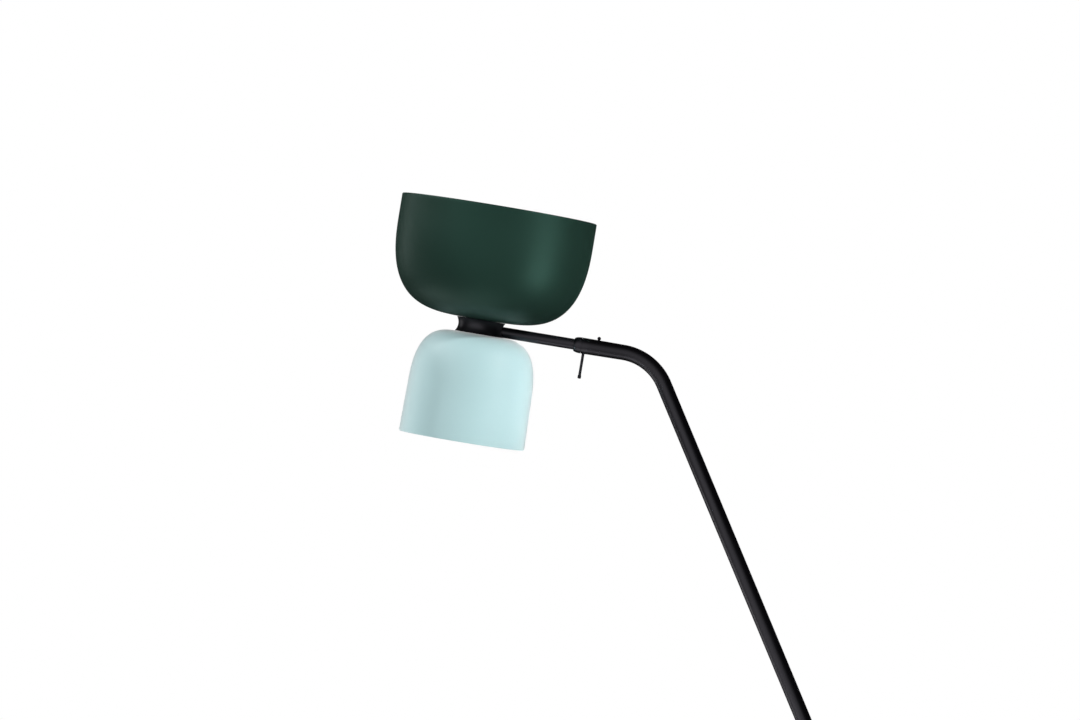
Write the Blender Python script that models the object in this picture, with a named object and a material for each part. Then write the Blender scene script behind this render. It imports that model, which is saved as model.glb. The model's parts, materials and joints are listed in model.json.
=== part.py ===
"""Adjustable arm floor lamp: a bowl shade and a bell shade on a swivelling, sliding arm.

World frame: metres, +Z up, origin at the middle of the base's underside.
The stem leans away from the head in the XZ plane, the head stands over -X.
"""
import math

import bmesh
import bpy
from mathutils import Matrix, Vector

MM = 0.001
GAP = 0.3 * MM  # between pieces that touch on the real lamp

# Driving dimensions, in metres
BEND_APEX_HEIGHT = 1.298  # where the arm's line and the stem's line cross
HEAD_TO_APEX = 0.2131  # along the arm, from the head's axis to that crossing
HEAD_TO_NOSE = 0.1162  # along the arm, from the head's axis to the tip of the stem tube
ARM_TILT = math.radians(9.4)  # the arm falls by this much on its way to the stem
STEM_LEAN = math.radians(22.6)  # from the vertical
BEND_RADIUS = 0.065

BASE_RADIUS = 0.150
PAD_RADIUS = 0.142
PAD_THICKNESS = 2.0 * MM
BASE_UNDERSIDE = PAD_THICKNESS + GAP
BASE_TOP = 0.0323
FOOT_OFFSET = 0.100  # where the stem's axis meets the base's top, along +X

ARM_RADIUS = 6.6 * MM
ARM_BORE = 5.2 * MM
TUBE_NOSE_RADIUS = 9.8 * MM
TUBE_RADIUS = 9.4 * MM
TUBE_BORE = 8.3 * MM  # straight front length, where the arm slides
STEM_BORE = 7.9 * MM

NOSE_LENGTH = 9.0 * MM  # rounded tip of the guide bush
BUSH_END = 31.0 * MM  # inner end of the guide bush, from the nose
LEVER_FROM_NOSE = 12.8 * MM
PIN_FROM_NOSE = 29.1 * MM
LEVER_RADIUS = 1.45 * MM
LEVER_REACH = 39.3 * MM  # tip of the lock lever, from the arm's axis
PIN_RADIUS = 1.3 * MM
PIN_BALL_RADIUS = 1.9 * MM
COLLAR_FROM_NOSE = 45.6 * MM
GLIDE_LENGTH = 6.0 * MM
COLLAR_LENGTH = 2.0 * MM

SPOOL_BOTTOM = -6.6 * MM
SPOOL_TOP = 10.6 * MM
SPOOL_WAIST = 26.9 * MM
SPOOL_FLARE = 2.8 * MM
CHAMBER_RADIUS = 15.0 * MM
CHAMBER_FLOOR = -3.4 * MM
CHAMBER_CEILING = 7.6 * MM

SHEET = 0.8 * MM
BOWL_RADIUS = 0.120
BOWL_BOTTOM = SPOOL_TOP + GAP
BOWL_KNEE = 0.1208  # where the bowl's curve runs into its straight wall
BOWL_RIM = 0.1480
BELL_CROWN_RADIUS = 0.07465
BELL_FLARE = 0.0026  # growth of the radius down the bell
BELL_CORNER = (0.0465, 0.0696)  # width and depth of the bell's shoulder
BELL_HEIGHT = 0.1311

NIPPLE_RADIUS = 5.0 * MM
NIPPLE_BORE = 3.4 * MM
HOLE_RADIUS = NIPPLE_RADIUS + GAP

RECESS_CENTRE = (0.070, 0.0)
RECESS_RADIUS = 0.052
RECESS_CEILING = 0.0183
PLATE_RADIUS = 0.0585
SCREW_CIRCLE = 0.0553
CORD_BORE = 3.3 * MM
CORD_OUTLET = (BASE_RADIUS - 5.5 * MM, 0.030, 0.0105)

BLACK = (0.018, 0.018, 0.021)
COLOURS = {
    "black_lacquer": (BLACK, 0.42, 0.0),
    "green_lacquer": ((0.018, 0.050, 0.036), 0.38, 0.0),
    "aqua_lacquer": ((0.48, 0.67, 0.70), 0.40, 0.0),
    "steel": ((0.55, 0.55, 0.56), 0.35, 1.0),
    "brass": ((0.78, 0.57, 0.25), 0.35, 1.0),
    "nylon": ((0.75, 0.74, 0.70), 0.55, 0.0),
    "black_plastic": ((0.025, 0.025, 0.026), 0.50, 0.0),
    "rubber": ((0.03, 0.03, 0.03), 0.85, 0.0),
    "ceramic": ((0.80, 0.79, 0.75), 0.45, 0.0),
    "frosted_glass": ((0.92, 0.92, 0.90), 0.45, 0.0),
    "white_plastic": ((0.86, 0.86, 0.84), 0.40, 0.0),
    "cable_sheath": ((0.03, 0.03, 0.03), 0.60, 0.0),
    "wire_sheath": ((0.35, 0.17, 0.08), 0.60, 0.0),
}


# Helpers

def clear_scene():
    for thing in list(bpy.data.objects):
        bpy.data.objects.remove(thing, do_unlink=True)


def make_material(name):
    colour, roughness, metallic = COLOURS[name]
    material = bpy.data.materials.new(name)
    material.use_nodes = True
    shader = material.node_tree.nodes["Principled BSDF"]
    shader.inputs["Base Color"].default_value = (*colour, 1.0)
    shader.inputs["Roughness"].default_value = roughness
    shader.inputs["Metallic"].default_value = metallic
    return material


def add_frame(name, location, rotation=(0, 0, 0), parent=None):
    """An empty that holds a group of pieces at its place and tilt."""
    frame = bpy.data.objects.new(name, None)
    frame.location = location
    frame.rotation_euler = rotation
    frame.parent = parent
    bpy.context.collection.objects.link(frame)
    return frame


def add_piece(name, mesh, material, parent=None, place=(0, 0, 0), turn=(0, 0, 0)):
    """Turns a bmesh into a smooth-shaded object; each has its own material."""
    bmesh.ops.recalc_face_normals(mesh, faces=mesh.faces)
    data = bpy.data.meshes.new(name)
    mesh.to_mesh(data)
    mesh.free()
    data.shade_smooth()
    data.set_sharp_from_angle(angle=math.radians(35))
    piece = bpy.data.objects.new(name, data)
    if material:
        data.materials.append(make_material(material))
        data.materials[0].name = name
    piece.parent = parent
    piece.location = place
    piece.rotation_euler = turn
    bpy.context.collection.objects.link(piece)
    return piece


def join_rings(mesh, first, second):
    """Faces between two rings of points, either of which may be a single point."""
    count = max(len(first), len(second))
    if len(first) == 1 and len(second) == 1:
        return
    for i in range(count):
        j = (i + 1) % count
        if len(first) == 1:
            mesh.faces.new((first[0], second[i], second[j]))
        elif len(second) == 1:
            mesh.faces.new((first[i], second[0], first[j]))
        else:
            mesh.faces.new((first[i], second[i], second[j], first[j]))


def spun(outline, segments):
    """A closed outline of (radius, height) points, spun about Z."""
    mesh = bmesh.new()
    rings = []
    for radius, height in outline:
        angles = [0.0] if radius == 0 else [2 * math.pi * i / segments for i in range(segments)]
        points = [(radius * math.cos(a), radius * math.sin(a), height) for a in angles]
        rings.append([mesh.verts.new(point) for point in points])
    for first, second in zip(rings, rings[1:] + rings[:1]):
        join_rings(mesh, first, second)
    return mesh


def lathe(name, outline, material, parent=None, segments=20, place=(0, 0, 0), turn=(0, 0, 0)):
    return add_piece(name, spun(outline, segments), material, parent, place, turn)


def ring(name, inner, outer, low, high, material, parent=None, **options):
    """A plain ring or bush."""
    outline = [(inner, low), (outer, low), (outer, high), (inner, high)]
    return lathe(name, outline, material, parent, **options)


def hex_nut(name, across_flats, bore, low, high, material, parent):
    """A hexagon of twelve points, corners and flats in turn, around a round bore."""
    mesh = bmesh.new()
    corner = across_flats / 2 / math.cos(math.pi / 6)
    rings = []
    for level, inside in ((low, False), (high, False), (high, True), (low, True)):
        points = []
        for i in range(12):
            angle = 2 * math.pi * i / 12
            outside = corner if i % 2 == 0 else across_flats / 2
            radius = bore if inside else outside
            points.append(mesh.verts.new((radius * math.cos(angle), radius * math.sin(angle), level)))
        rings.append(points)
    for first, second in zip(rings, rings[1:] + rings[:1]):
        join_rings(mesh, first, second)
    return add_piece(name, mesh, material, parent)


def box(name, low, high, material, parent=None, bevel=0.0):
    mesh = bmesh.new()
    size = [b - a for a, b in zip(low, high)]
    middle = [(a + b) / 2 for a, b in zip(low, high)]
    bmesh.ops.create_cube(mesh, size=1.0)
    bmesh.ops.scale(mesh, vec=size, verts=mesh.verts)
    bmesh.ops.translate(mesh, vec=middle, verts=mesh.verts)
    if bevel:
        bmesh.ops.bevel(mesh, geom=list(mesh.edges), offset=bevel, segments=1, affect="EDGES")
    return add_piece(name, mesh, material, parent)


def cut(piece, cutter):
    """Takes a cutter's shape out of a piece."""
    cutter.hide_render = True
    cutter.display_type = "WIRE"
    modifier = piece.modifiers.new("cut_" + cutter.name, "BOOLEAN")
    modifier.operation = "DIFFERENCE"
    modifier.solver = "EXACT"
    modifier.object = cutter


def drill(piece, name, radius, low, high, parent=None, place=(0, 0, 0), turn=(0, 0, 0), segments=12):
    """A round hole along the local Z of the given place."""
    outline = [(0, low), (radius, low), (radius, high), (0, high)]
    cutter = lathe("cut_" + name, outline, None, parent, segments=segments, place=place, turn=turn)
    cut(piece, cutter)
    return cutter


def swept(stations, sides, bore=True):
    """A tube or rod along stations of (centre, direction, outer radius, bore radius)."""
    mesh = bmesh.new()
    outer, inner = [], []
    sideways = Vector((0, 1, 0))
    for centre, direction, radius, hollow in stations:
        upward = direction.cross(sideways)
        outer.append([])
        inner.append([])
        for i in range(sides):
            angle = 2 * math.pi * i / sides
            spoke = sideways * math.cos(angle) + upward * math.sin(angle)
            outer[-1].append(mesh.verts.new(centre + spoke * radius))
            if bore:
                inner[-1].append(mesh.verts.new(centre + spoke * hollow))
    for rings in (outer, inner) if bore else (outer,):
        for first, second in zip(rings, rings[1:]):
            join_rings(mesh, first, second)
    if bore:
        join_rings(mesh, outer[0], inner[0])
        join_rings(mesh, outer[-1], inner[-1])
    else:
        mesh.faces.new(outer[0])
        mesh.faces.new(outer[-1])
    return mesh


# Frames and lines that the pieces share

def arm_direction():
    """From the head towards the stem."""
    return Vector((math.cos(ARM_TILT), 0, -math.sin(ARM_TILT)))


def stem_direction():
    """From the bend down to the base."""
    return Vector((math.sin(STEM_LEAN), 0, -math.cos(STEM_LEAN)))


def bend_apex():
    run = (BEND_APEX_HEIGHT - BASE_TOP) * math.tan(STEM_LEAN)
    return Vector((FOOT_OFFSET - run, 0, BEND_APEX_HEIGHT))


def head_point():
    return bend_apex() - arm_direction() * HEAD_TO_APEX


def stem_point(height):
    """The point of the stem's axis at a height."""
    reach = (BEND_APEX_HEIGHT - height) / math.cos(STEM_LEAN)
    return bend_apex() + stem_direction() * reach


def stem_path(start, end_height, steps):
    """Centres and directions from a distance along the arm's line, round the bend, to a height."""
    turn = math.pi / 2 - STEM_LEAN - ARM_TILT
    tangent = BEND_RADIUS * math.tan(turn / 2)
    arm, stem, apex = arm_direction(), stem_direction(), bend_apex()
    bend_start = apex - arm * tangent
    inward = Vector((arm.z, 0, -arm.x))
    centre = bend_start + inward * BEND_RADIUS
    path = [(head_point() + arm * start, arm)]
    for i in range(steps + 1):
        angle = turn * i / steps
        rotation = Matrix.Rotation(angle, 3, "Y")
        path.append((centre - rotation @ inward * BEND_RADIUS, rotation @ arm))
    path.append((stem_point(end_height), stem))
    return path


# Base

def make_base():
    foot = add_frame("foot_frame", stem_point(BASE_TOP), (0, math.pi - STEM_LEAN, 0))
    lathe("base_pad", [(0, 0), (PAD_RADIUS - 1 * MM, 0), (PAD_RADIUS, 1 * MM), (PAD_RADIUS, PAD_THICKNESS),
                       (0, PAD_THICKNESS)], "rubber", segments=40)

    edge = 3 * MM
    rounding = [(BASE_RADIUS - edge + edge * math.sin(math.radians(a)),
                 BASE_TOP - edge + edge * math.cos(math.radians(a))) for a in (90, 60, 30, 0)]
    weight = lathe("base_weight", [(0, BASE_UNDERSIDE), (BASE_RADIUS - 1.5 * MM, BASE_UNDERSIDE),
                                   (BASE_RADIUS, BASE_UNDERSIDE + 1.5 * MM), *rounding,
                                   (0, BASE_TOP)], "black_lacquer", segments=48)
    recess = (*RECESS_CENTRE, 0)
    drill(weight, "recess", RECESS_RADIUS, 0, RECESS_CEILING, place=recess, segments=32)
    drill(weight, "plate_step", PLATE_RADIUS + GAP, 0, BASE_UNDERSIDE + 1.9 * MM, place=recess, segments=32)
    drill(weight, "stem_seat", TUBE_RADIUS + 0.4 * MM, -0.02, 8.0 * MM, foot, segments=20)
    drill(weight, "shank_hole", 6.4 * MM, -0.02, 0.03, foot, segments=16)

    # cord outlet at the rear edge, next to the stem
    outlet = CORD_OUTLET
    drill(weight, "outlet", 4.3 * MM, -0.045, 0.02, place=outlet, turn=(0, math.pi / 2, 0))
    drill(weight, "outlet_flat", 6.6 * MM, 0, 0.02, place=outlet, turn=(0, math.pi / 2, 0), segments=16)
    lathe("cord_bush", [(CORD_BORE, -12 * MM), (4.0 * MM, -12 * MM), (4.0 * MM, 0.3 * MM),
                        (6.2 * MM, 0.3 * MM), (5.6 * MM, 2.3 * MM), (CORD_BORE, 2.3 * MM)],
          "black_plastic", segments=16, place=outlet, turn=(0, math.pi / 2, 0))

    plate_low = BASE_UNDERSIDE + 0.1 * MM
    plate = lathe("base_plate", [(0, plate_low), (PLATE_RADIUS, plate_low),
                                 (PLATE_RADIUS, plate_low + 1.5 * MM), (0, plate_low + 1.5 * MM)],
                  "steel", segments=32, place=recess)
    for number in range(3):
        angle = math.radians(90 + 120 * number)
        place = (RECESS_CENTRE[0] + SCREW_CIRCLE * math.cos(angle),
                 RECESS_CENTRE[1] + SCREW_CIRCLE * math.sin(angle), plate_low)
        drill(weight, f"plate_thread_{number + 1}", 1.5 * MM + GAP, 0, 9.5 * MM, place=place)
        drill(plate, f"plate_hole_{number + 1}", 1.5 * MM + GAP, -0.005, 0.005, place=place)
        drill(plate, f"plate_sink_{number + 1}", 2.8 * MM, -0.005, 0.8 * MM, place=place)
        lathe(f"plate_screw_{number + 1}", [(0, 0.05 * MM), (2.4 * MM, 0.05 * MM), (2.4 * MM, 0.5 * MM),
                                            (1.5 * MM, 0.5 * MM), (1.5 * MM, 9 * MM), (0, 9 * MM)],
              "steel", segments=10, place=place)

    make_stem_foot(foot)
    box("terminal_block", (0.037, -0.032, 0.0075), (0.067, -0.018, 0.0180), "nylon", bevel=0.6 * MM)
    screw_place = (0.045, 0.020, RECESS_CEILING)
    drill(weight, "earth_thread", 2.0 * MM + GAP, -0.001, 6.5 * MM, place=screw_place)
    lathe("earth_screw", [(0, -4.5 * MM), (3.6 * MM, -4.5 * MM), (3.6 * MM, -1.5 * MM),
                          (2.0 * MM, -1.5 * MM), (2.0 * MM, 6 * MM), (0, 6 * MM)],
          "brass", segments=12, place=screw_place)
    ring("earth_washer", 2.3 * MM, 4.4 * MM, -1.2 * MM, -GAP, "brass", segments=12, place=screw_place)


def make_stem_foot(foot):
    """Plug in the stem's end, its wedge washer and nut; local +Z runs down the stem's axis."""
    seat = 8.0 * MM - 2 * GAP
    lathe("stem_foot", [(3.2 * MM, -22 * MM), (7.6 * MM, -22 * MM), (7.6 * MM, seat - 2 * MM),
                        (6.0 * MM, seat - 2 * MM), (6.0 * MM, 27.8 * MM), (3.2 * MM, 27.8 * MM)],
          "steel", foot, segments=16)
    wedge = ring("foot_wedge", 6.3 * MM, 9.5 * MM, 4 * MM, 21.4 * MM, "steel", foot, segments=16)
    box_low = (0.06, -0.02, RECESS_CEILING - GAP)
    cut(wedge, box("cut_wedge_top", box_low, (0.14, 0.02, 0.05), None))
    hex_nut("foot_nut", 16 * MM, 6.3 * MM, 21.7 * MM, 25.7 * MM, "steel", foot)
    inside = TUBE_RADIUS + 0.4 * MM
    collar = lathe("stem_collar", [(inside, -11 * MM), (12.0 * MM, -11 * MM), (13.2 * MM, -9.5 * MM),
                                   (13.2 * MM, 10 * MM), (inside, 10 * MM)],
                   "black_lacquer", foot, segments=24)
    cut(collar, box("cut_collar_foot", (0.05, -0.03, -0.01), (0.15, 0.03, BASE_TOP + GAP), None))


# Stem with the arm's guide, lock lever and pin

def make_stem(head):
    start = HEAD_TO_NOSE + NOSE_LENGTH + GAP
    end_height = BASE_TOP - (8.0 * MM - GAP) * math.cos(STEM_LEAN)
    stations = []
    for index, (centre, direction) in enumerate(stem_path(start, end_height, 10)):
        outer = TUBE_NOSE_RADIUS if index == 0 else TUBE_RADIUS
        hollow = TUBE_BORE if index < 2 else STEM_BORE
        stations.append((centre, direction, outer, hollow))
    tube = add_piece("stem_tube", swept(stations, 20), "black_lacquer")

    nose = [(7.0 * MM, 0)]
    shoulder = TUBE_NOSE_RADIUS - 7.2 * MM
    for step in range(5):
        angle = math.pi / 2 * step / 4
        nose.append((7.2 * MM + shoulder * math.sin(angle), NOSE_LENGTH * (1 - math.cos(angle))))
    bush_outer = TUBE_BORE - GAP
    nose += [(bush_outer, NOSE_LENGTH), (bush_outer, BUSH_END), (7.0 * MM, BUSH_END)]
    along = (0, math.pi / 2, 0)
    bush = lathe("guide_bush", nose, "black_plastic", head, segments=24,
                 place=(HEAD_TO_NOSE, 0, 0), turn=along)

    # the lock lever's axis points down, away from the tube; the pin's points up
    lever = add_frame("lever_frame", (HEAD_TO_NOSE + LEVER_FROM_NOSE, 0, 0), (math.pi, 0, 0), head)
    pin = add_frame("pin_frame", (HEAD_TO_NOSE + PIN_FROM_NOSE, 0, 0), (0, 0, 0), head)
    for piece in (tube, bush):
        drill(piece, "lever_hole_" + piece.name, LEVER_RADIUS + GAP, 4 * MM, 14 * MM, lever)
        drill(piece, "pin_hole_" + piece.name, PIN_RADIUS + GAP, 4 * MM, 14 * MM, pin)

    tip = LEVER_REACH
    knob = LEVER_RADIUS + 0.45 * MM
    lathe("lock_lever", [(0, 8.5 * MM), (LEVER_RADIUS, 8.5 * MM), (LEVER_RADIUS, tip - 4.2 * MM),
                         (knob, tip - 3.4 * MM), (knob, tip - 1.2 * MM), (knob * 0.7, tip - 0.3 * MM),
                         (0, tip)], "black_lacquer", lever, segments=12)
    lathe("clamp_pad", [(0, 6.9 * MM), (LEVER_RADIUS, 6.9 * MM), (LEVER_RADIUS, 7.9 * MM),
                        (0, 7.9 * MM)], "nylon", lever, segments=12)

    centre = TUBE_NOSE_RADIUS + 2.6 * MM
    ball = [(0, 7.1 * MM), (PIN_RADIUS, 7.1 * MM)]
    for degrees in (-45, -15, 15, 45, 70):
        angle = math.radians(degrees)
        ball.append((PIN_BALL_RADIUS * math.cos(angle), centre + PIN_BALL_RADIUS * math.sin(angle)))
    ball.append((0, centre + PIN_BALL_RADIUS))
    lathe("ball_pin", ball, "black_lacquer", pin, segments=12)


def make_flex():
    """The mains flex inside the lamp, from the base's recess to the spool's chamber."""
    path = stem_path(0.014, 0.0075, 10)
    straight = path[-1][0] - path[-2][0]
    stations = [(centre, direction, 2.0 * MM, 0) for centre, direction in path[:-1]]
    for part in (1 / 3, 2 / 3, 1):
        stations.append((path[-2][0] + straight * part, stem_direction(), 2.0 * MM, 0))
    add_piece("supply_flex", swept(stations, 8, bore=False), "cable_sheath")


# Arm

def make_arm(head, carrier):
    along = (0, math.pi / 2, 0)
    nose = HEAD_TO_NOSE
    collar = nose + COLLAR_FROM_NOSE
    glide = collar + COLLAR_LENGTH + GAP
    end = glide + GLIDE_LENGTH + GAP
    arm = ring("arm_tube", ARM_BORE, ARM_RADIUS, 18 * MM, end + COLLAR_LENGTH + 0.2 * MM,
               "black_lacquer", head, segments=20, turn=along)
    saddle = [(0, -9 * MM)]
    for height in (-9 * MM, *spool_heights(6), 14 * MM):
        saddle.append((spool_radius(height) + GAP, height))
    saddle.append((0, 14 * MM))
    cut(arm, lathe("cut_saddle", saddle, None, head, segments=64))

    ring("stop_collar", ARM_RADIUS + GAP, 8.0 * MM, collar, collar + COLLAR_LENGTH, "brass", head,
         segments=20, turn=along)
    ring("glide_ring", ARM_RADIUS + GAP, 8.0 * MM, glide, glide + GLIDE_LENGTH, "nylon", carrier,
         segments=20, turn=along)
    ring("end_collar", ARM_RADIUS + GAP, 8.0 * MM, end, end + COLLAR_LENGTH, "brass", head,
         segments=20, turn=along)
    # threaded spigot that fixes the arm in the spool
    ring_outline = [(2.8 * MM, 12.5 * MM), (3.9 * MM, 12.5 * MM), (3.9 * MM, 31 * MM),
                    (ARM_BORE - GAP, 31 * MM), (ARM_BORE - GAP, 46 * MM), (2.8 * MM, 46 * MM)]
    lathe("arm_spigot", ring_outline, "steel", head, segments=12, turn=along)


# Head

def spool_radius(height):
    middle = (SPOOL_TOP + SPOOL_BOTTOM) / 2
    half = (SPOOL_TOP - SPOOL_BOTTOM) / 2
    return SPOOL_WAIST + SPOOL_FLARE * ((height - middle) / half) ** 2


def spool_heights(steps):
    return [SPOOL_BOTTOM + (SPOOL_TOP - SPOOL_BOTTOM) * i / steps for i in range(steps + 1)]


def make_spool(head):
    side = [(spool_radius(height), height) for height in spool_heights(6)]
    outline = [*side, (HOLE_RADIUS, SPOOL_TOP), (HOLE_RADIUS, CHAMBER_CEILING),
               (CHAMBER_RADIUS, CHAMBER_CEILING), (CHAMBER_RADIUS, CHAMBER_FLOOR),
               (HOLE_RADIUS, CHAMBER_FLOOR), (HOLE_RADIUS, SPOOL_BOTTOM)]
    spool = lathe("spool", outline, "black_lacquer", head, segments=32)
    drill(spool, "spigot_hole", 3.9 * MM + GAP, 10 * MM, 35 * MM, head,
          turn=(0, math.pi / 2, 0), segments=12)
    box("wire_connector", (-9.5 * MM, -4.5 * MM, -1.5 * MM), (-3.5 * MM, 4.5 * MM, 5.5 * MM), "nylon", head,
        bevel=0.4 * MM)


def sheet_outline(outer):
    """Closed outline of a thin sheet: the outer line, then the same line moved inwards."""
    inner = []
    for i, (radius, height) in enumerate(outer):
        before = outer[max(i - 1, 0)]
        after = outer[min(i + 1, len(outer) - 1)]
        along = Vector((after[0] - before[0], after[1] - before[1])).normalized()
        inner.append((radius - along.y * SHEET, height + along.x * SHEET))
    inner[0] = (outer[0][0], inner[0][1])
    inner[-1] = (inner[-1][0], outer[-1][1])
    return outer + inner[::-1]


def bowl_outline(steps=12):
    """Outer line of the bowl, from its hole up to its rim."""
    wide, deep = 3.9, 2.55  # exponents of the curve across and down
    depth = BOWL_KNEE - BOWL_BOTTOM
    line = [(HOLE_RADIUS, BOWL_BOTTOM)]
    for i in range(1, steps + 1):
        angle = math.pi / 2 * i / steps
        radius = BOWL_RADIUS * math.sin(angle) ** (2 / wide)
        line.append((radius, BOWL_KNEE - depth * math.cos(angle) ** (2 / deep)))
    line.append((BOWL_RADIUS, BOWL_RIM))
    return line


def bell_outline(steps=9):
    """Outer line of the bell, from its hole out and down to its rim, heights counted downwards."""
    power = 2.73
    width, depth = BELL_CORNER
    line = [(HOLE_RADIUS, 0.0)]
    for i in range(steps + 1):
        angle = math.pi / 2 * i / steps
        fall = depth * (1 - math.cos(angle) ** (2 / power))
        radius = BELL_CROWN_RADIUS - width + width * math.sin(angle) ** (2 / power)
        line.append((radius + BELL_FLARE * fall / BELL_HEIGHT, fall))
    line.append((BELL_CROWN_RADIUS + BELL_FLARE, BELL_HEIGHT))
    return line


def make_shades(bowl_side, bell_side):
    lathe("bowl_shade", sheet_outline(bowl_outline()), "green_lacquer", bowl_side, segments=40)
    drop = -SPOOL_BOTTOM + GAP
    bell = [(radius, fall + drop) for radius, fall in bell_outline()]
    lathe("bell_shade", sheet_outline(bell), "aqua_lacquer", bell_side, segments=36)


def make_lamp(prefix, side, sheet_start):
    """Fixings, lampholder and bulb on one side of the spool; local +Z points away from it."""
    washer = sheet_start + SHEET + GAP
    nut = washer + 1.5 * MM + GAP
    cap = nut + 5 * MM + GAP
    ring(prefix + "_washer", HOLE_RADIUS, 16 * MM, washer, washer + 1.5 * MM, "steel", side, segments=20)
    hex_nut(prefix + "_nut", 14 * MM, HOLE_RADIUS, nut, nut + 5 * MM, "brass", side)
    ring(prefix + "_nipple", NIPPLE_BORE, NIPPLE_RADIUS, sheet_start - 3.1 * MM, cap + 9 * MM, "brass", side,
         segments=12)

    lathe(prefix + "_holder_cap", [(HOLE_RADIUS, cap), (10 * MM, cap), (17 * MM, cap + 5 * MM),
                                   (19.5 * MM, cap + 9 * MM), (19.5 * MM, cap + 20 * MM),
                                   (18 * MM, cap + 20 * MM), (18 * MM, cap + 11 * MM),
                                   (HOLE_RADIUS, cap + 11 * MM)], "black_plastic", side)
    ring(prefix + "_holder_shell", 18 * MM, 19.5 * MM, cap + 20 * MM + GAP, cap + 46 * MM,
         "black_plastic", side)
    ring(prefix + "_holder_core", 2.0 * MM, 17.7 * MM, cap + 12 * MM, cap + 19 * MM, "ceramic", side,
         segments=16)
    ring(prefix + "_screw_shell", 13.9 * MM, 14.7 * MM, cap + 19 * MM + GAP, cap + 45 * MM, "brass", side)
    lathe(prefix + "_contact", [(0, cap + 19.3 * MM), (3.5 * MM, cap + 19.3 * MM),
                                (2.5 * MM, cap + 21.5 * MM), (0, cap + 22 * MM)], "brass", side, segments=10)

    tip = cap + 22.3 * MM
    lathe(prefix + "_bulb_cap", [(0, tip), (4.5 * MM, tip), (6 * MM, tip + 2.5 * MM),
                                 (13.3 * MM, tip + 6 * MM), (13.3 * MM, tip + 26 * MM),
                                 (0, tip + 26 * MM)], "steel", side)
    collar = tip + 26 * MM + GAP
    lathe(prefix + "_bulb_collar", [(0, collar), (13.6 * MM, collar), (20 * MM, collar + 14 * MM),
                                    (23.5 * MM, collar + 22 * MM), (0, collar + 22 * MM)],
          "white_plastic", side)
    glass = collar + 22 * MM + GAP
    radius = 29 * MM
    centre = glass + math.sqrt(radius ** 2 - (23.5 * MM) ** 2)
    start = -math.asin((centre - glass) / radius)
    dome = [(0, glass)]
    for i in range(8):
        angle = start + (math.pi / 2 - start) * i / 8
        dome.append((radius * math.cos(angle), centre + radius * math.sin(angle)))
    dome.append((0, centre + radius))
    lathe(prefix + "_bulb_glass", dome, "frosted_glass", side)


def make_lead(prefix, head, points):
    """A single wire from the connector through a nipple."""
    stations = []
    for i, point in enumerate(points):
        before, after = points[max(i - 1, 0)], points[min(i + 1, len(points) - 1)]
        direction = (Vector(after) - Vector(before)).normalized()
        stations.append((Vector(point) * MM, direction, 1.1 * MM, 0))
    add_piece(prefix + "_lead", swept(stations, 6, bore=False), "wire_sheath", head)


def build():
    clear_scene()
    head = add_frame("head_frame", head_point(), (0, ARM_TILT, 0))
    carrier = add_frame("carrier_frame", head_point(), (0, ARM_TILT, 0))
    bowl_side = add_frame("bowl_side", (0, 0, 0), (0, 0, 0), head)
    bell_side = add_frame("bell_side", (0, 0, 0), (math.pi, 0, 0), head)
    make_base()
    make_stem(head)
    make_flex()
    make_arm(head, carrier)
    make_spool(head)
    make_shades(bowl_side, bell_side)
    make_lamp("bowl", bowl_side, BOWL_BOTTOM)
    make_lamp("bell", bell_side, -SPOOL_BOTTOM + GAP)
    make_lead("bowl", head, [(-3.0, 0, 3.4), (-1.2, 0, 4.2), (0, 0, 6.5), (0, 0, 24.0)])
    make_lead("bell", head, [(-3.0, 0, 0.6), (-1.2, 0, -0.4), (0, 0, -3.0), (0, 0, -20.0)])


build()
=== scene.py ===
import json
import math

import bmesh
import bpy
from mathutils import Matrix, Vector


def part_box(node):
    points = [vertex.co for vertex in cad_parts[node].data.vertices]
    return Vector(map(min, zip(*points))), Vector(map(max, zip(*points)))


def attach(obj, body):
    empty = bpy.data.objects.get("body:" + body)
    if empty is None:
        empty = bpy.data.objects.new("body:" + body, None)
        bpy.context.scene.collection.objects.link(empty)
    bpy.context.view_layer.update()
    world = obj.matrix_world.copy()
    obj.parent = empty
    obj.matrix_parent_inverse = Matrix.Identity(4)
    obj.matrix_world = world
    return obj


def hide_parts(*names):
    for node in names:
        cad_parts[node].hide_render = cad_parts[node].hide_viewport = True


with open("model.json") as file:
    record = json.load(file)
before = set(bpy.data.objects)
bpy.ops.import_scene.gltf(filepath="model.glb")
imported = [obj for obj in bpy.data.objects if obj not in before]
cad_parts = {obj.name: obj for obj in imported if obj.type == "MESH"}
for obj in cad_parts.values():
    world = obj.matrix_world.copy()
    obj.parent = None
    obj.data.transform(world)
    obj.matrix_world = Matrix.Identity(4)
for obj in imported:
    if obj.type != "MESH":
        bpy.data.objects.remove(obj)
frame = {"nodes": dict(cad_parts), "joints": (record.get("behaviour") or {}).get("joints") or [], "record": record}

"""Looks of the adjustable arm floor lamp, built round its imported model.

Everything is in metres in the row frame. The head's own frame has its origin where the arm's axis
meets the head's axis, +X along the arm towards the stem and +Z up through the bowl.
"""

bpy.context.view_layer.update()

MM = 0.001
GAP = 0.3 * MM

# The shapes' sizes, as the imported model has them, except that the lever and the pin are a little thicker
ARM_RADIUS = 6.6 * MM
ARM_BORE = 5.2 * MM
TUBE_NOSE_RADIUS = 9.8 * MM
TUBE_RADIUS = 9.4 * MM
TUBE_BORE = 8.3 * MM
STEM_BORE = 7.9 * MM
BEND_RADIUS = 0.065
HEAD_TO_NOSE = 0.1162
HEAD_TO_APEX = 0.2131
STEM_LEAN = math.radians(22.6)
NOSE_LENGTH = 9.0 * MM
BUSH_END = 31.0 * MM
LEVER_RADIUS = 1.7 * MM
LEVER_REACH = 40.3 * MM
PIN_FROM_NOSE = 29.1 * MM
PIN_RADIUS = 1.6 * MM
PIN_BALL_RADIUS = 2.2 * MM

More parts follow.
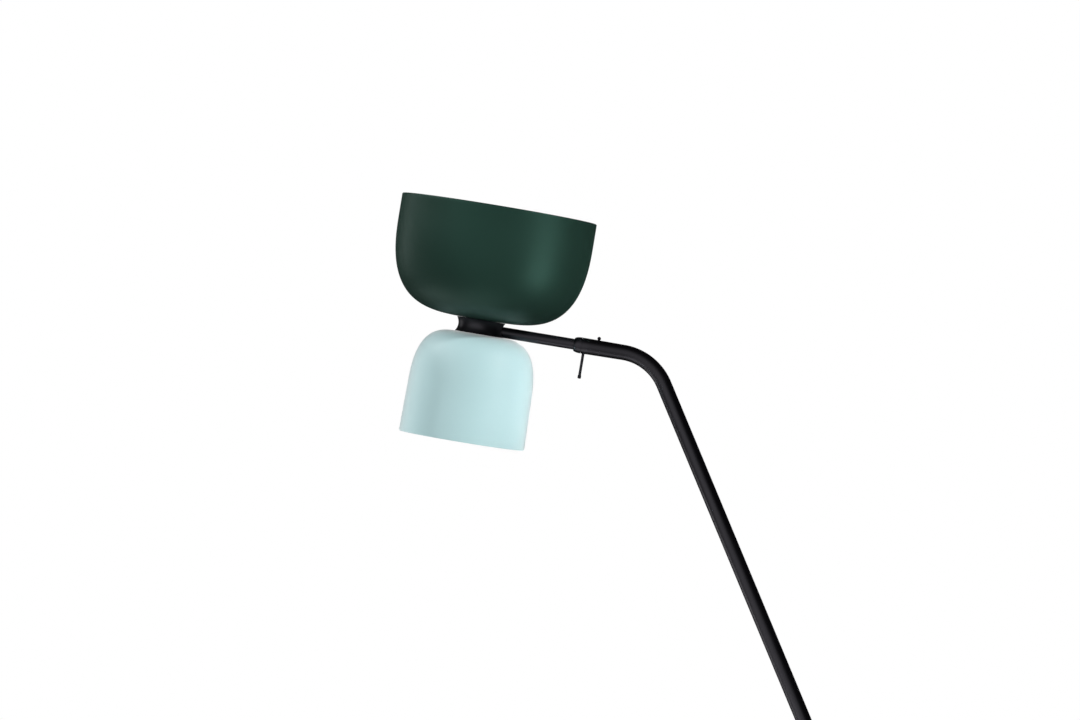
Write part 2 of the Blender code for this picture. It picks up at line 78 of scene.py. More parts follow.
SPOOL_BOTTOM = -6.6 * MM
SPOOL_TOP = 10.6 * MM
SPOOL_WAIST = 26.9 * MM
SPOOL_FLARE = 2.8 * MM
SHEET = 0.8 * MM
HOLE_RADIUS = 5.3 * MM
BOWL_RADIUS = 0.1199
BOWL_KNEE = 0.1208
BOWL_RIM = 0.1480
BELL_CROWN_RADIUS = 0.07465
BELL_FLARE = 0.0026
BELL_CORNER = (0.0465, 0.0696)
BELL_HEIGHT = 0.1311

BASE_RADIUS = 0.150
PAD_THICKNESS = 2.0 * MM
HEM = 1.1 * MM  # half the thickness of a shade's rolled rim
SPOOL_EXTRA = 0.25 * MM  # what the spool stands proud of its node at each end
PIN_BALL_RISE = 1.9 * MM  # the middle of the pin's ball, above the nose's radius


# Places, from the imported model's joints and boxes

joints = {joint["name"]: joint for joint in frame["joints"]}
head_point = Vector(joints["arm_roll"]["pos_m"])
arm_line = -Vector(joints["arm_roll"]["axis"]).normalized()
stem_line = Vector((math.sin(STEM_LEAN), 0, -math.cos(STEM_LEAN)))
arm_tilt = math.atan2(-arm_line.z, arm_line.x)
bend_apex = head_point + arm_line * HEAD_TO_APEX
HEAD = Matrix.Translation(head_point) @ Matrix.Rotation(arm_tilt, 4, "Y")
ALONG = HEAD @ Matrix.Rotation(math.pi / 2, 4, "Y")  # local +Z runs along the arm
BELL_SIDE = HEAD @ Matrix.Rotation(math.pi, 4, "X")  # local +Z points down through the bell
base_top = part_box("base_weight")[1][2]
foot_reach = (bend_apex.z - base_top) / math.cos(STEM_LEAN)
FOOT = Matrix.Translation(bend_apex + stem_line * foot_reach) @ Matrix.Rotation(math.pi - STEM_LEAN, 4, "Y")


# Materials: all procedural, in object space

BROAD_CHANGES = 9.0  # slow changes of tone and gloss, in features to the metre


def new_material(name):
    material = bpy.data.materials.new(name)
    material.use_nodes = True
    return material, material.node_tree.nodes, material.node_tree.links


def noise(nodes, links, coordinates, scale, detail=2.0, stretch=(1, 1, 1)):
    """Noise at a number of features to the metre, optionally stretched along an axis."""
    mapping = nodes.new("ShaderNodeMapping")
    mapping.inputs["Scale"].default_value = stretch
    links.new(coordinates, mapping.inputs["Vector"])
    texture = nodes.new("ShaderNodeTexNoise")
    texture.inputs["Scale"].default_value = scale
    texture.inputs["Detail"].default_value = detail
    links.new(mapping.outputs["Vector"], texture.inputs["Vector"])
    return texture.outputs["Fac"]


def spread(nodes, links, value, low, high):
    """Maps the middle of a noise onto low to high."""
    node = nodes.new("ShaderNodeMapRange")
    node.inputs["From Min"].default_value = 0.3
    node.inputs["From Max"].default_value = 0.7
    node.inputs["To Min"].default_value = low
    node.inputs["To Max"].default_value = high
    links.new(value, node.inputs["Value"])
    return node.outputs["Result"]


def finish_material(name, colour, roughness, metallic=0.0, tone=0.06, grain=900.0, depth=0.02 * MM,
                    stretch=(1, 1, 1), specular=0.5, roughness_change=0.05, subsurface=0.0,
                    tint=(1, 1, 1), sheen=0.0):
    """A surface with slow changes of tone, a fine grain in its relief and an uneven gloss."""
    material, nodes, links = new_material(name)
    shader = nodes["Principled BSDF"]
    coordinates = nodes.new("ShaderNodeTexCoord").outputs["Object"]
    slow = noise(nodes, links, coordinates, BROAD_CHANGES, 3.0, stretch)
    fine = noise(nodes, links, coordinates, grain, 2.0, stretch)

    mix = nodes.new("ShaderNodeMix")
    mix.data_type = "RGBA"
    mix.inputs["A"].default_value = (*[c * (1 - tone) for c in colour], 1)
    mix.inputs["B"].default_value = (*[min(c * (1 + tone), 1) for c in colour], 1)
    links.new(spread(nodes, links, slow, 0, 1), mix.inputs["Factor"])
    links.new(mix.outputs["Result"], shader.inputs["Base Color"])
    gloss = spread(nodes, links, slow, roughness - roughness_change, roughness + roughness_change)
    links.new(gloss, shader.inputs["Roughness"])

    bump = nodes.new("ShaderNodeBump")
    bump.inputs["Strength"].default_value = 1.0
    bump.inputs["Distance"].default_value = depth
    links.new(fine, bump.inputs["Height"])
    links.new(bump.outputs["Normal"], shader.inputs["Normal"])

    shader.inputs["Metallic"].default_value = metallic
    shader.inputs["Specular IOR Level"].default_value = specular
    shader.inputs["Specular Tint"].default_value = (*tint, 1)
    shader.inputs["Sheen Weight"].default_value = sheen
    shader.inputs["Sheen Roughness"].default_value = 0.45
    shader.inputs["Subsurface Weight"].default_value = subsurface
    shader.inputs["Subsurface Radius"].default_value = (0.004, 0.004, 0.003)
    return material


BLACK = (0.0030, 0.0027, 0.0040)
M = {
    "black": finish_material("black_powder_coat", BLACK, 0.38, tone=0.10, grain=1500, depth=0.010 * MM,
                             tint=(1, 0.96, 1.08)),
    "base_black": finish_material("base_powder_coat", BLACK, 0.48, tone=0.12, grain=1100,
                                  depth=0.035 * MM, specular=0.35),
    "green": finish_material("green_satin_lacquer", (0.0074, 0.0200, 0.0148), 0.50, tone=0.05,
                             grain=1300, depth=0.008 * MM, specular=0.5, tint=(0.30, 0.75, 0.60)),
    "aqua": finish_material("aqua_satin_lacquer", (0.40, 0.59, 0.61), 0.50, tone=0.02, grain=1300,
                            depth=0.008 * MM, roughness_change=0.03, specular=0.4, sheen=1.0),
    "lining": finish_material("white_lining", (0.80, 0.80, 0.77), 0.55, tone=0.02, grain=900,
                              depth=0.015 * MM),
    "steel": finish_material("brushed_steel", (0.55, 0.55, 0.56), 0.30, metallic=1.0, grain=600,
                             stretch=(1, 1, 12), depth=0.008 * MM),
    "brass": finish_material("turned_brass", (0.72, 0.52, 0.24), 0.26, metallic=1.0, grain=700,
                             stretch=(1, 1, 10), depth=0.008 * MM),
    "nylon": finish_material("nylon", (0.70, 0.69, 0.64), 0.50, tone=0.03, subsurface=0.1),
    "plastic": finish_material("black_moulding", (0.013, 0.013, 0.014), 0.42, grain=2200,
                               depth=0.015 * MM),
    "rubber": finish_material("ribbed_rubber", (0.016, 0.016, 0.016), 0.80, grain=2600,
                              depth=0.05 * MM),
    "ceramic": finish_material("ceramic_insert", (0.74, 0.73, 0.69), 0.38, grain=500,
                               depth=0.01 * MM),
    "glass": finish_material("frosted_dome", (0.88, 0.88, 0.86), 0.30, tone=0.01, grain=3000,
                             depth=0.004 * MM, subsurface=0.35),
    "white": finish_material("white_moulding", (0.80, 0.80, 0.78), 0.35, tone=0.01, grain=2200,
                             depth=0.008 * MM),
    "sheath": finish_material("cable_sheath", (0.016, 0.016, 0.016), 0.55, grain=900,
                              depth=0.02 * MM),
}


# Mesh tools

def filleted(points):
    """A closed outline of (radius, height, fillet radius, which may be left out), its corners rounded."""
    line = []
    count = len(points)
    for i, point in enumerate(points):
        here = Vector(point[:2])
        size = point[2] if len(point) > 2 else 0
        if size == 0:
            line.append(tuple(here))
            continue
        before = (Vector(points[i - 1][:2]) - here).normalized()
        after = (Vector(points[(i + 1) % count][:2]) - here).normalized()
        half = before.angle(after) / 2
        setback = size / math.tan(half)
        middle = here + (before + after).normalized() * (size / math.sin(half))
        start, end = here + before * setback, here + after * setback
        steps = 5
        a0 = math.atan2(start.y - middle.y, start.x - middle.x)
        sweep = math.atan2(end.y - middle.y, end.x - middle.x) - a0
        sweep = (sweep + math.pi) % (2 * math.pi) - math.pi
        for step in range(steps + 1):
            angle = a0 + sweep * step / steps
            line.append((middle.x + size * math.cos(angle), middle.y + size * math.sin(angle)))
    return line


def join_rings(mesh, first, second, slot=0):
    count = max(len(first), len(second))
    if len(first) == 1 and len(second) == 1:
        return
    for i in range(count):
        j = (i + 1) % count
        if len(first) == 1:
            face = mesh.faces.new((first[0], second[i], second[j]))
        elif len(second) == 1:
            face = mesh.faces.new((first[i], second[0], first[j]))
        else:
            face = mesh.faces.new((first[i], second[i], second[j], first[j]))
        face.material_index = slot


def add_object(name, mesh, materials, place=None, sharp=35):
    """Makes the object with its place written into its mesh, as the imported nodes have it."""
    bmesh.ops.recalc_face_normals(mesh, faces=mesh.faces)
    if place:
        mesh.transform(place)
    data = bpy.data.meshes.new(name)
    mesh.to_mesh(data)
    mesh.free()
    data.shade_smooth()
    data.set_sharp_from_angle(angle=math.radians(sharp))
    for material in materials:
        data.materials.append(material)
    piece = bpy.data.objects.new(name, data)
    bpy.context.collection.objects.link(piece)
    return piece


def lathe_mesh(outline, segments, slots=None):
    """Spins a closed outline round Z; slots gives the material of each stretch of the outline."""
    mesh = bmesh.new()
    rings = []
    for radius, height in outline:
        if abs(radius) < 1e-7:
            rings.append([mesh.verts.new((0, 0, height))])
            continue
        ring = []
        for i in range(segments):
            angle = 2 * math.pi * i / segments
            ring.append(mesh.verts.new((radius * math.cos(angle), radius * math.sin(angle), height)))
        rings.append(ring)
    for i, ring in enumerate(rings):
        join_rings(mesh, ring, rings[(i + 1) % len(rings)], slots[i] if slots else 0)
    return mesh


def stand_for(piece, body, slot, *nodes):
    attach(piece, body)
    if nodes:
        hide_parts(*nodes)
    return piece


def lathe(name, outline, material, place, segments=64):
    return add_object(name, lathe_mesh(filleted(outline), segments), [material], place)


def swept_mesh(stations, sides):
    """A hollow tube along stations of (centre, direction, outer radius, bore radius)."""
    mesh = bmesh.new()
    outer, inner = [], []
    sideways = Vector((0, 1, 0))
    for centre, direction, radius, hollow in stations:
        upward = direction.cross(sideways)
        outer.append([])
        inner.append([])
        for i in range(sides):
            angle = 2 * math.pi * i / sides
            spoke = sideways * math.cos(angle) + upward * math.sin(angle)
            outer[-1].append(mesh.verts.new(centre + spoke * radius))
            inner[-1].append(mesh.verts.new(centre + spoke * hollow))
    for rings in (outer, inner):
        for first, second in zip(rings, rings[1:]):
            join_rings(mesh, first, second)
    join_rings(mesh, outer[0], inner[0])
    join_rings(mesh, outer[-1], inner[-1])
    return mesh


def bore(piece, name, radius, low, high, place, segments=32):
    """Cuts a round hole along the local Z of a place, and applies it."""
    outline = [(0, low), (radius, low), (radius, high), (0, high)]
    cutter = add_object("cut_" + name, lathe_mesh(outline, segments), [], place)
    carve(piece, cutter)


def carve(piece, cutter):
    modifier = piece.modifiers.new("cut", "BOOLEAN")
    modifier.operation = "DIFFERENCE"
    modifier.solver = "EXACT"
    modifier.object = cutter
    bpy.context.view_layer.update()
    graph = bpy.context.evaluated_depsgraph_get()
    data = bpy.data.meshes.new_from_object(piece.evaluated_get(graph))
    piece.modifiers.clear()
    piece.data = data
    bpy.data.objects.remove(cutter, do_unlink=True)


# Head: shades, spool and arm

def sheet_outline(outer, hem):
    """Outer line of a shade, then a rolled rim, then the line moved inwards by the sheet's thickness.
    Also says which material each stretch has: 0 outside, 1 inside."""
    inner = []
    for i, (radius, height) in enumerate(outer):
        before, after = outer[max(i - 1, 0)], outer[min(i + 1, len(outer) - 1)]
        along = Vector((after[0] - before[0], after[1] - before[1])).normalized()
        inner.append((radius - along.y * SHEET, height + along.x * SHEET))
    inner[0] = (outer[0][0], inner[0][1])
    rim_radius, rim_height = outer[-1]
    centre = (rim_radius - hem, rim_height - hem)
    outer = outer[:-1] + [(rim_radius, centre[1])]
    roll = []
    for step in range(1, 13):
        angle = math.radians(230) * step / 12
        roll.append((centre[0] + hem * math.cos(angle), centre[1] + hem * math.sin(angle)))
    neck = (rim_radius - SHEET, centre[1] - hem * 1.25)
    inner = [point for point in inner[:-1] if point[1] < neck[1] - 0.5 * MM] + [neck]
    outline = outer + roll + inner[::-1]
    slots = [0] * (len(outer) + 12) + [1] * len(inner)
    slots[-1] = 0
    return outline, slots


def bowl_line(steps=44):
    wide, deep = 3.9, 2.55
    bottom = SPOOL_TOP + GAP
    depth = BOWL_KNEE - bottom
    line = [(HOLE_RADIUS, bottom), (14 * MM, bottom)]
    for i in range(steps + 1):
        angle = math.pi / 2 * (i / steps) ** 1.25
        radius = BOWL_RADIUS * math.sin(angle) ** (2 / wide)
        if radius > 20 * MM:
            line.append((radius, BOWL_KNEE - depth * math.cos(angle) ** (2 / deep)))
    straight = 6
    for i in range(1, straight + 1):
        line.append((BOWL_RADIUS, BOWL_KNEE + (BOWL_RIM - BOWL_KNEE) * i / straight))
    return line


def bell_line(steps=36):
    power = 2.73
    width, depth = BELL_CORNER
    top = -SPOOL_BOTTOM + GAP
    line = [(HOLE_RADIUS, top), (16 * MM, top)]
    for i in range(steps + 1):
        angle = math.pi / 2 * (i / steps) ** 1.2
        fall = depth * (1 - math.cos(angle) ** (2 / power))
        radius = BELL_CROWN_RADIUS - width + width * math.sin(angle) ** (2 / power)
        line.append((radius + BELL_FLARE * fall / BELL_HEIGHT, top + fall))
    straight = 8
    for i in range(1, straight + 1):
        fall = depth + (BELL_HEIGHT - depth) * i / straight
        line.append((BELL_CROWN_RADIUS + BELL_FLARE * fall / BELL_HEIGHT, top + fall))
    return line


def make_shades():
    for name, line, place, outside, slot in (
            ("bowl_shade", bowl_line(), HEAD, M["green"], "green_lacquer"),
            ("bell_shade", bell_line(), BELL_SIDE, M["aqua"], "aqua_lacquer")):
        outline, slots = sheet_outline(line, HEM)
        mesh = lathe_mesh(outline, 160, slots)
        shade = add_object(name + "_shell", mesh, [outside, M["lining"]], place, 50)
        stand_for(shade, "arm", slot, name)


def spool_radius(height):
    middle = (SPOOL_TOP + SPOOL_BOTTOM) / 2
    half = (SPOOL_TOP - SPOOL_BOTTOM) / 2
    return SPOOL_WAIST + SPOOL_FLARE * ((height - middle) / half) ** 2


def make_spool():
    """The spool, a little taller than its node, so that no light shows between it and the shades.
    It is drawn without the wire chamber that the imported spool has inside."""
    low, high = SPOOL_BOTTOM - SPOOL_EXTRA, SPOOL_TOP + SPOOL_EXTRA
    edge = 0.3 * MM
    steps = 16
    side = []
    for i in range(steps + 1):
        height = low + edge + (high - low - 2 * edge) * i / steps
        side.append((spool_radius(height), height))
    outline = [(HOLE_RADIUS, low), (side[0][0] - edge, low)]
    outline += side
    outline += [(side[-1][0] - edge, high), (HOLE_RADIUS, high)]
    spool = lathe("spool_body", outline, M["black"], HEAD, 128)
    stand_for(spool, "arm", "black_lacquer", "spool")


def make_arm():
    """A round tube whose end is shaped to the spool's waist."""
    inner_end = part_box("arm_tube")[1][0]
    length = (inner_end - head_point.x - ARM_RADIUS * math.sin(arm_tilt)) / math.cos(arm_tilt)
    mesh = bmesh.new()
    rings = []
    sides = 48
    for station in ("start", 0.036, 0.08, length - 0.4 * MM, length):
        radius = ARM_RADIUS - (0.4 * MM if station == length else 0)
        ring = []
        for i in range(sides):
            angle = 2 * math.pi * i / sides
            y, z = radius * math.cos(angle), radius * math.sin(angle)
            x = station
            if station == "start":
                x = math.sqrt(spool_radius(z) ** 2 - y ** 2) + 0.02 * MM
            ring.append(mesh.verts.new((x, y, z)))
        rings.append(ring)
    for x in (length, 0.034):
        rings.append([mesh.verts.new((x, ARM_BORE * math.cos(2 * math.pi * i / sides),
                                      ARM_BORE * math.sin(2 * math.pi * i / sides)))
                      for i in range(sides)])
    for first, second in zip(rings, rings[1:]):
        join_rings(mesh, first, second)
    join_rings(mesh, rings[-1], rings[0])
    arm = add_object("arm_rod", mesh, [M["black"]], HEAD)
    stand_for(arm, "arm", "black_lacquer", "arm_tube")


# Stem, guide, lever and pin

def make_stem():
    start = HEAD_TO_NOSE + NOSE_LENGTH + GAP
    turn = math.pi / 2 - STEM_LEAN - arm_tilt
    tangent = BEND_RADIUS * math.tan(turn / 2)
    bend_start = bend_apex - arm_line * tangent
    inward = Vector((arm_line.z, 0, -arm_line.x))
    centre = bend_start + inward * BEND_RADIUS
    foot = FOOT @ Vector((0, 0, 8.0 * MM - GAP))
    straight = (bend_start - head_point).length - start

    stations = [(head_point + arm_line * start, arm_line, TUBE_NOSE_RADIUS - 0.15 * MM, TUBE_BORE)]
    for share in (0.01, 0.2, 0.4, 0.6, 0.8):
        radius = TUBE_NOSE_RADIUS + (TUBE_RADIUS - TUBE_NOSE_RADIUS) * share
        stations.append((head_point + arm_line * (start + straight * share), arm_line, radius, TUBE_BORE))
    bend_steps = 28
    for i in range(bend_steps + 1):
        rotation = Matrix.Rotation(turn * i / bend_steps, 3, "Y")
        hollow = TUBE_BORE if i == 0 else STEM_BORE
        stations.append((centre - rotation @ inward * BEND_RADIUS, rotation @ arm_line, TUBE_RADIUS, hollow))
    bend_end = stations[-1][0]
    lengths = 8
    for i in range(1, lengths + 1):
        stations.append((bend_end.lerp(foot, i / lengths), stem_line, TUBE_RADIUS, STEM_BORE))
    tube = add_object("stem_pipe", swept_mesh(stations, 64), [M["black"]], sharp=50)

    lever = HEAD @ Matrix.Translation((lever_distance(), 0, 0)) @ Matrix.Rotation(math.pi, 4, "X")
    pin = HEAD @ Matrix.Translation((HEAD_TO_NOSE + PIN_FROM_NOSE, 0, 0))
    bore(tube, "lever", LEVER_RADIUS + 0.2 * MM, 4 * MM, 14 * MM, lever)
    bore(tube, "pin", PIN_RADIUS + 0.1 * MM, 4 * MM, 14 * MM, pin)
    stand_for(tube, "stand", "black_lacquer", "stem_tube")

    nose = [(7.0 * MM, 0.4 * MM), (7.3 * MM, 0.0)]
    shoulder = TUBE_NOSE_RADIUS - 7.3 * MM
    for step in range(1, 17):
        angle = math.pi / 2 * step / 16
        nose.append((7.3 * MM + shoulder * math.sin(angle), NOSE_LENGTH * (1 - math.cos(angle))))
    bush_outer = TUBE_BORE - GAP
    nose += [(bush_outer, NOSE_LENGTH), (bush_outer, BUSH_END), (7.0 * MM, BUSH_END)]
    place = ALONG @ Matrix.Translation((0, 0, HEAD_TO_NOSE))
    bush = add_object("guide_bush_body", lathe_mesh(nose, 64), [M["black"]], place)
    bore(bush, "lever_seat", LEVER_RADIUS + 0.2 * MM, 4 * MM, 14 * MM, lever)
    bore(bush, "pin_seat", PIN_RADIUS + 0.1 * MM, 4 * MM, 14 * MM, pin)
    stand_for(bush, "stand", "black_plastic", "guide_bush")

    tip = LEVER_REACH
    knob = LEVER_RADIUS + 0.45 * MM
    outline = [(0, 8.5 * MM), (LEVER_RADIUS, 8.5 * MM, 0.2 * MM), (LEVER_RADIUS, tip - 4.6 * MM, 0.8 * MM),
               (knob, tip - 3.4 * MM, 0.6 * MM), (knob, tip, 1.2 * MM), (0, tip)]
    rod = lathe("lock_lever_rod", outline, M["black"], lever, 32)
    stand_for(rod, "lever", "black_lacquer", "lock_lever")

    middle = TUBE_NOSE_RADIUS + PIN_BALL_RISE
    neck = -math.acos(PIN_RADIUS / PIN_BALL_RADIUS)
    outline = [(0, 7.1 * MM), (PIN_RADIUS, 7.1 * MM)]
    for step in range(15):
        angle = neck + (math.pi / 2 - neck) * step / 14
        outline.append((PIN_BALL_RADIUS * math.cos(angle), middle + PIN_BALL_RADIUS * math.sin(angle)))
    outline[-1] = (0, middle + PIN_BALL_RADIUS)
    ball = lathe("ball_pin_body", outline, M["black"], pin, 32)
    stand_for(ball, "stand", "black_lacquer", "ball_pin")


def lever_distance():
    """From the head's axis to the lock lever's axis, along the arm."""
    return (Vector(joints["lever_turn"]["pos_m"]) - head_point).dot(arm_line)


# Base

def make_base():
    low = PAD_THICKNESS + GAP
    outline = [(0, low), (BASE_RADIUS, low, 1.2 * MM), (BASE_RADIUS, base_top, 3 * MM), (0, base_top)]
    weight = lathe("base_disc", outline, M["base_black"], Matrix.Identity(4), 160)
    bore(weight, "seat", TUBE_RADIUS + 0.4 * MM, -0.02, 8.0 * MM, FOOT, 48)
    outlet_low, outlet_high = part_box("cord_bush")
    outlet = Matrix.Translation((BASE_RADIUS - 5.5 * MM, (outlet_low[1] + outlet_high[1]) / 2,
                                 (outlet_low[2] + outlet_high[2]) / 2)) @ Matrix.Rotation(math.pi / 2, 4, "Y")
    bore(weight, "outlet", 4.3 * MM, -0.014, 0.02, outlet, 32)
    bore(weight, "outlet_flat", 6.6 * MM, 0, 0.02, outlet, 48)
    stand_for(weight, "stand", "base_lacquer", "base_weight")

    pad_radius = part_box("base_pad")[1][0]
    outline = [(0, 0), (pad_radius - 1 * MM, 0, 0.4 * MM), (pad_radius, 1 * MM, 0.3 * MM),
               (pad_radius, PAD_THICKNESS, 0.3 * MM), (0, PAD_THICKNESS)]
    pad = lathe("base_pad_sheet", outline, M["rubber"], Matrix.Identity(4), 128)
    stand_for(pad, "stand", "rubber", "base_pad")

    bush = [(3.3 * MM, -12 * MM), (4.0 * MM, -12 * MM), (4.0 * MM, 0.3 * MM), (6.2 * MM, 0.3 * MM, 0.3 * MM),
            (5.6 * MM, 2.3 * MM, 0.8 * MM), (3.3 * MM, 2.3 * MM, 0.6 * MM)]
    stand_for(lathe("cord_bush_body", bush, M["plastic"], outlet, 48), "stand", "black_plastic", "cord_bush")

    inside = TUBE_RADIUS + 0.4 * MM
    collar = [(inside, -11 * MM), (12.0 * MM, -11 * MM, 0.4 * MM), (13.2 * MM, -9.5 * MM, 0.6 * MM),
              (13.2 * MM, 10 * MM), (inside, 10 * MM)]
    ring = lathe("stem_collar_ring", collar, M["black"], FOOT, 96)
    block = bmesh.new()
    bmesh.ops.create_cube(block, size=1.0)
    size = Matrix.Diagonal((0.12, 0.08, 0.04, 1.0))
    block_place = Matrix.Translation((FOOT.translation.x, 0, base_top + 0.05 * MM - 0.02)) @ size
    carve(ring, add_object("cut_floor", block, [], block_place))
    stand_for(ring, "stand", "black_lacquer", "stem_collar")


# Lampholders and bulbs

def make_lamp(prefix, place, sheet_start):
    """Washer, holder and bulb of one shade; local +Z points away from the spool."""
    washer = sheet_start + SHEET + GAP
    nut = washer + 1.8 * MM
    cap = nut + 5.3 * MM
    outline = [(HOLE_RADIUS, washer), (16 * MM, washer, 0.3 * MM), (16 * MM, washer + 1.5 * MM, 0.5 * MM),
               (HOLE_RADIUS, washer + 1.5 * MM)]
    stand_for(lathe(prefix + "_washer_disc", outline, M["steel"], place, 64), "arm", "steel",
              prefix + "_washer")

    outline = [(HOLE_RADIUS, cap), (10 * MM, cap, 0.6 * MM), (17 * MM, cap + 5 * MM, 2 * MM),
               (19.5 * MM, cap + 9 * MM, 2 * MM), (19.5 * MM, cap + 20 * MM, 0.4 * MM),
               (18 * MM, cap + 20 * MM), (18 * MM, cap + 11 * MM), (HOLE_RADIUS, cap + 11 * MM)]
    stand_for(lathe(prefix + "_holder_cap_body", outline, M["plastic"], place, 72), "arm", "black_plastic",
              prefix + "_holder_cap")

    low, high = cap + 20.3 * MM, cap + 46 * MM
    outline = [(18 * MM, low), (19.5 * MM, low, 0.3 * MM)]
    ribs = 7
    pitch = 2.6 * MM
    for i in range(ribs):
        base = low + 4 * MM + pitch * i
        for step in range(8):
            angle = 2 * math.pi * step / 8
            outline.append((19.1 * MM + 0.4 * MM * math.cos(angle), base + pitch * step / 8))
    outline += [(19.5 * MM, high - 2.8 * MM), (19.5 * MM, high, 0.5 * MM), (18 * MM, high, 0.4 * MM)]
    stand_for(lathe(prefix + "_holder_sleeve", outline, M["plastic"], place, 72), "arm", "black_plastic",
              prefix + "_holder_shell")

    tip = cap + 22.3 * MM
    collar = tip + 26.3 * MM
    glass = collar + 22.3 * MM
    outline = [(0, collar), (13.6 * MM, collar, 0.5 * MM), (14.6 * MM, collar + 3 * MM, 1 * MM),
               (20 * MM, collar + 14 * MM, 6 * MM), (23.5 * MM, collar + 20 * MM, 3 * MM),
               (23.5 * MM, collar + 22 * MM, 0.4 * MM), (0, collar + 22 * MM)]
    stand_for(lathe(prefix + "_bulb_housing", outline, M["white"], place, 72), "arm", "white_plastic",
              prefix + "_bulb_collar")

    radius, neck = 29 * MM, 23.3 * MM
    centre = glass + math.sqrt(radius ** 2 - (23.5 * MM) ** 2)
    start = -math.acos(neck / radius)
    outline = [(0, glass), (neck - 0.6 * MM, glass, 0.2 * MM)]
    for i in range(25):
        angle = start + (math.pi / 2 - start) * i / 24
        outline.append((radius * math.cos(angle), centre + radius * math.sin(angle)))
    outline[-1] = (0, centre + radius)
    stand_for(lathe(prefix + "_bulb_dome", outline, M["glass"], place, 72), "arm", "frosted_bulb",
              prefix + "_bulb_glass")


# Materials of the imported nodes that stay

def dress_nodes():
    choice = {"steel": "steel", "brass": "brass", "nylon": "nylon", "black_plastic": "plastic",
              "rubber": "rubber", "ceramic": "ceramic", "cable_sheath": "sheath",
              "black_lacquer": "black", "frosted_bulb": "glass", "white_plastic": "white",
              "green_lacquer": "green", "aqua_lacquer": "aqua", "base_lacquer": "base_black"}
    slots = {row["node"]: row["material_slot"] for row in frame["record"]["subparts"]}
    for name, node in frame["nodes"].items():
        node.data.materials.clear()
        node.data.materials.append(M[choice[slots[name]]])


# Camera, lights and floor

def make_camera():
    """Level with the head and square to the plane of the stem, far enough to look nearly flat."""
    distance = 4.73
    data = bpy.data.cameras.new("camera")
    data.sensor_width = 36
    data.lens = 129.5
    camera = bpy.data.objects.new("camera", data)
    camera.location = head_point + Vector((0.0732, -distance, -0.0134))
    camera.rotation_euler = (math.radians(90 - 0.3), 0, 0)
    bpy.context.collection.objects.link(camera)
    bpy.context.scene.camera = camera


def soft_box(name, azimuth, elevation, distance, width, height, power, spread=180, shine=True):
    """A panel aimed at the head; azimuth 0 is on the camera's side, +90 is on +X.
    Without shine it gives only diffuse light, and leaves no reflection."""
    data = bpy.data.lights.new(name, "AREA")
    data.shape = "RECTANGLE"
    data.size = width
    data.size_y = height
    data.energy = power
    data.spread = math.radians(spread)
    panel = bpy.data.objects.new(name, data)
    a, e = math.radians(azimuth), math.radians(elevation)
    away = Vector((math.sin(a) * math.cos(e), -math.cos(a) * math.cos(e), math.sin(e)))
    panel.location = head_point + away * distance
    panel.rotation_euler = away.to_track_quat("Z", "Y").to_euler()
    panel.visible_camera = False
    panel.visible_glossy = shine
    bpy.context.collection.objects.link(panel)
    return panel


def keep_dark(panel, pieces):
    """Keeps pieces out of a panel's light."""
    skipped = bpy.data.collections.new(panel.name + "_skips")
    for piece in pieces:
        skipped.objects.link(piece)
    for row in skipped.collection_objects:
        row.light_linking.link_state = "EXCLUDE"
    panel.light_linking.receiver_collection = skipped


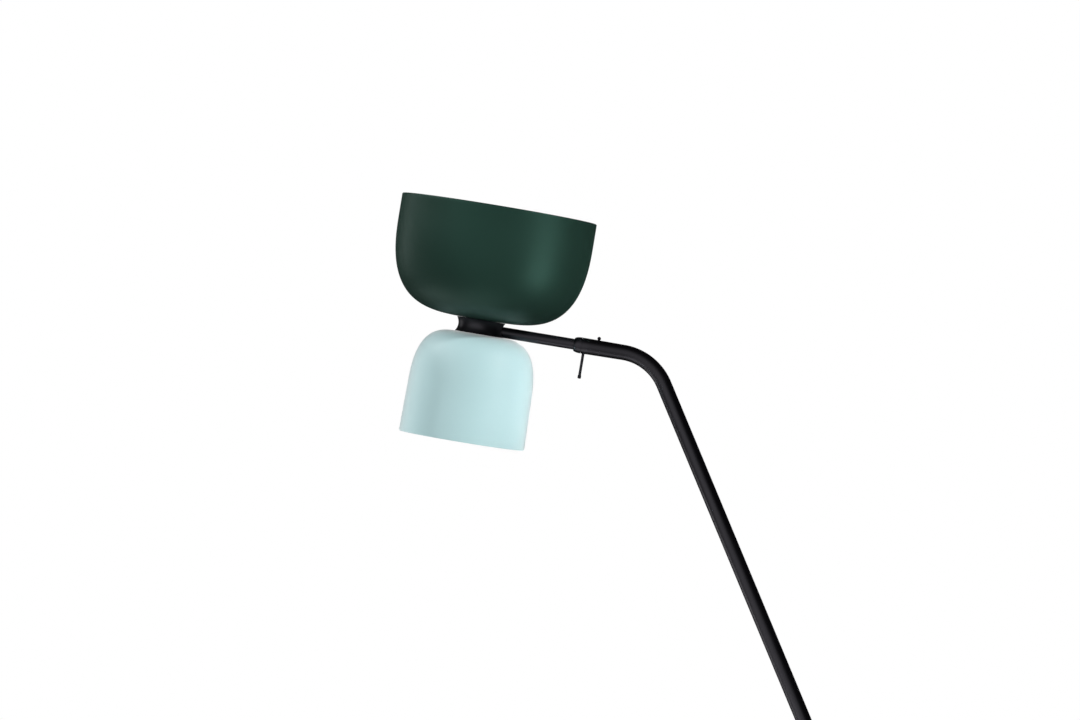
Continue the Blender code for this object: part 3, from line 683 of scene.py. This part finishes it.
def make_surroundings():
    # three narrow beams from the right, kept off the spool, stem, lever and pin
    level_beam = soft_box("level_beam", 62, 0, 2.2, 0.5, 0.36, 0.103, spread=5)
    low_beam = soft_box("low_beam", 62, -27, 2.2, 0.5, 0.36, 0.185, spread=5)
    high_beam = soft_box("high_beam", 62, 27, 2.2, 0.5, 0.36, 0.387, spread=5)
    dark = [bpy.data.objects[name] for name in ("spool_body", "stem_pipe", "lock_lever_rod", "ball_pin_body")]
    for beam in (level_beam, low_beam, high_beam):
        keep_dark(beam, dark)
    # soft light from the left, above and below, and thin light from behind on both sides
    soft_box("left_panel", -50, 38, 2.6, 0.8, 0.8, 16)
    soft_box("high_left_panel", -95, 42, 2.6, 0.8, 0.8, 34)
    soft_box("under_panel", -30, -66, 1.25, 0.75, 0.75, 3.3)
    soft_box("low_left_panel", -108, -44, 1.5, 0.7, 0.5, 3.0)
    soft_box("rim_panel", -119, 4, 2.2, 0.25, 1.2, 2.9)
    soft_box("back_left_panel", -125, 0, 2.2, 0.25, 1.2, 8, shine=False)
    soft_box("back_right_panel", 125, 0, 2.2, 0.25, 1.2, 30, shine=False)

    mesh = bmesh.new()
    bmesh.ops.create_grid(mesh, x_segments=1, y_segments=1, size=6.0)
    floor_material = finish_material("floor_paint", (0.82, 0.82, 0.81), 0.7, tone=0.01, grain=40)
    floor = add_object("floor", mesh, [floor_material])
    floor.visible_glossy = False  # or the lit floor shows as a pale line down the stem

    # white behind the object for the camera; for everything else a room that is light in front
    world = bpy.data.worlds.new("world")
    bpy.context.scene.world = world
    world.use_nodes = True
    nodes, links = world.node_tree.nodes, world.node_tree.links
    backdrop = nodes["Background"]
    backdrop.inputs["Color"].default_value = (1, 1, 1, 1)
    backdrop.inputs["Strength"].default_value = 1.0
    facing = nodes.new("ShaderNodeVectorMath")
    facing.operation = "DOT_PRODUCT"
    facing.inputs[1].default_value = (-0.40, -0.91, 0.10)
    links.new(nodes.new("ShaderNodeTexCoord").outputs["Generated"], facing.inputs[0])
    level = nodes.new("ShaderNodeMapRange")
    level.interpolation_type = "SMOOTHSTEP"
    level.inputs["From Min"].default_value = 0.55
    level.inputs["From Max"].default_value = 0.98
    level.inputs["To Min"].default_value = 0.023
    level.inputs["To Max"].default_value = 0.99
    links.new(facing.outputs["Value"], level.inputs["Value"])
    room = nodes.new("ShaderNodeBackground")
    room.inputs["Color"].default_value = (1, 1, 1, 1)
    links.new(level.outputs["Result"], room.inputs["Strength"])
    path = nodes.new("ShaderNodeLightPath")
    choose = nodes.new("ShaderNodeMixShader")
    links.new(path.outputs["Is Camera Ray"], choose.inputs["Fac"])
    links.new(room.outputs["Background"], choose.inputs[1])
    links.new(backdrop.outputs["Background"], choose.inputs[2])
    links.new(choose.outputs["Shader"], nodes["World Output"].inputs["Surface"])
    bpy.context.scene.view_settings.view_transform = "Standard"


dress_nodes()
make_shades()
make_spool()
make_arm()
make_stem()
make_base()
make_lamp("bowl", HEAD, SPOOL_TOP + GAP)
make_lamp("bell", BELL_SIDE, -SPOOL_BOTTOM + GAP)
make_camera()
make_surroundings()
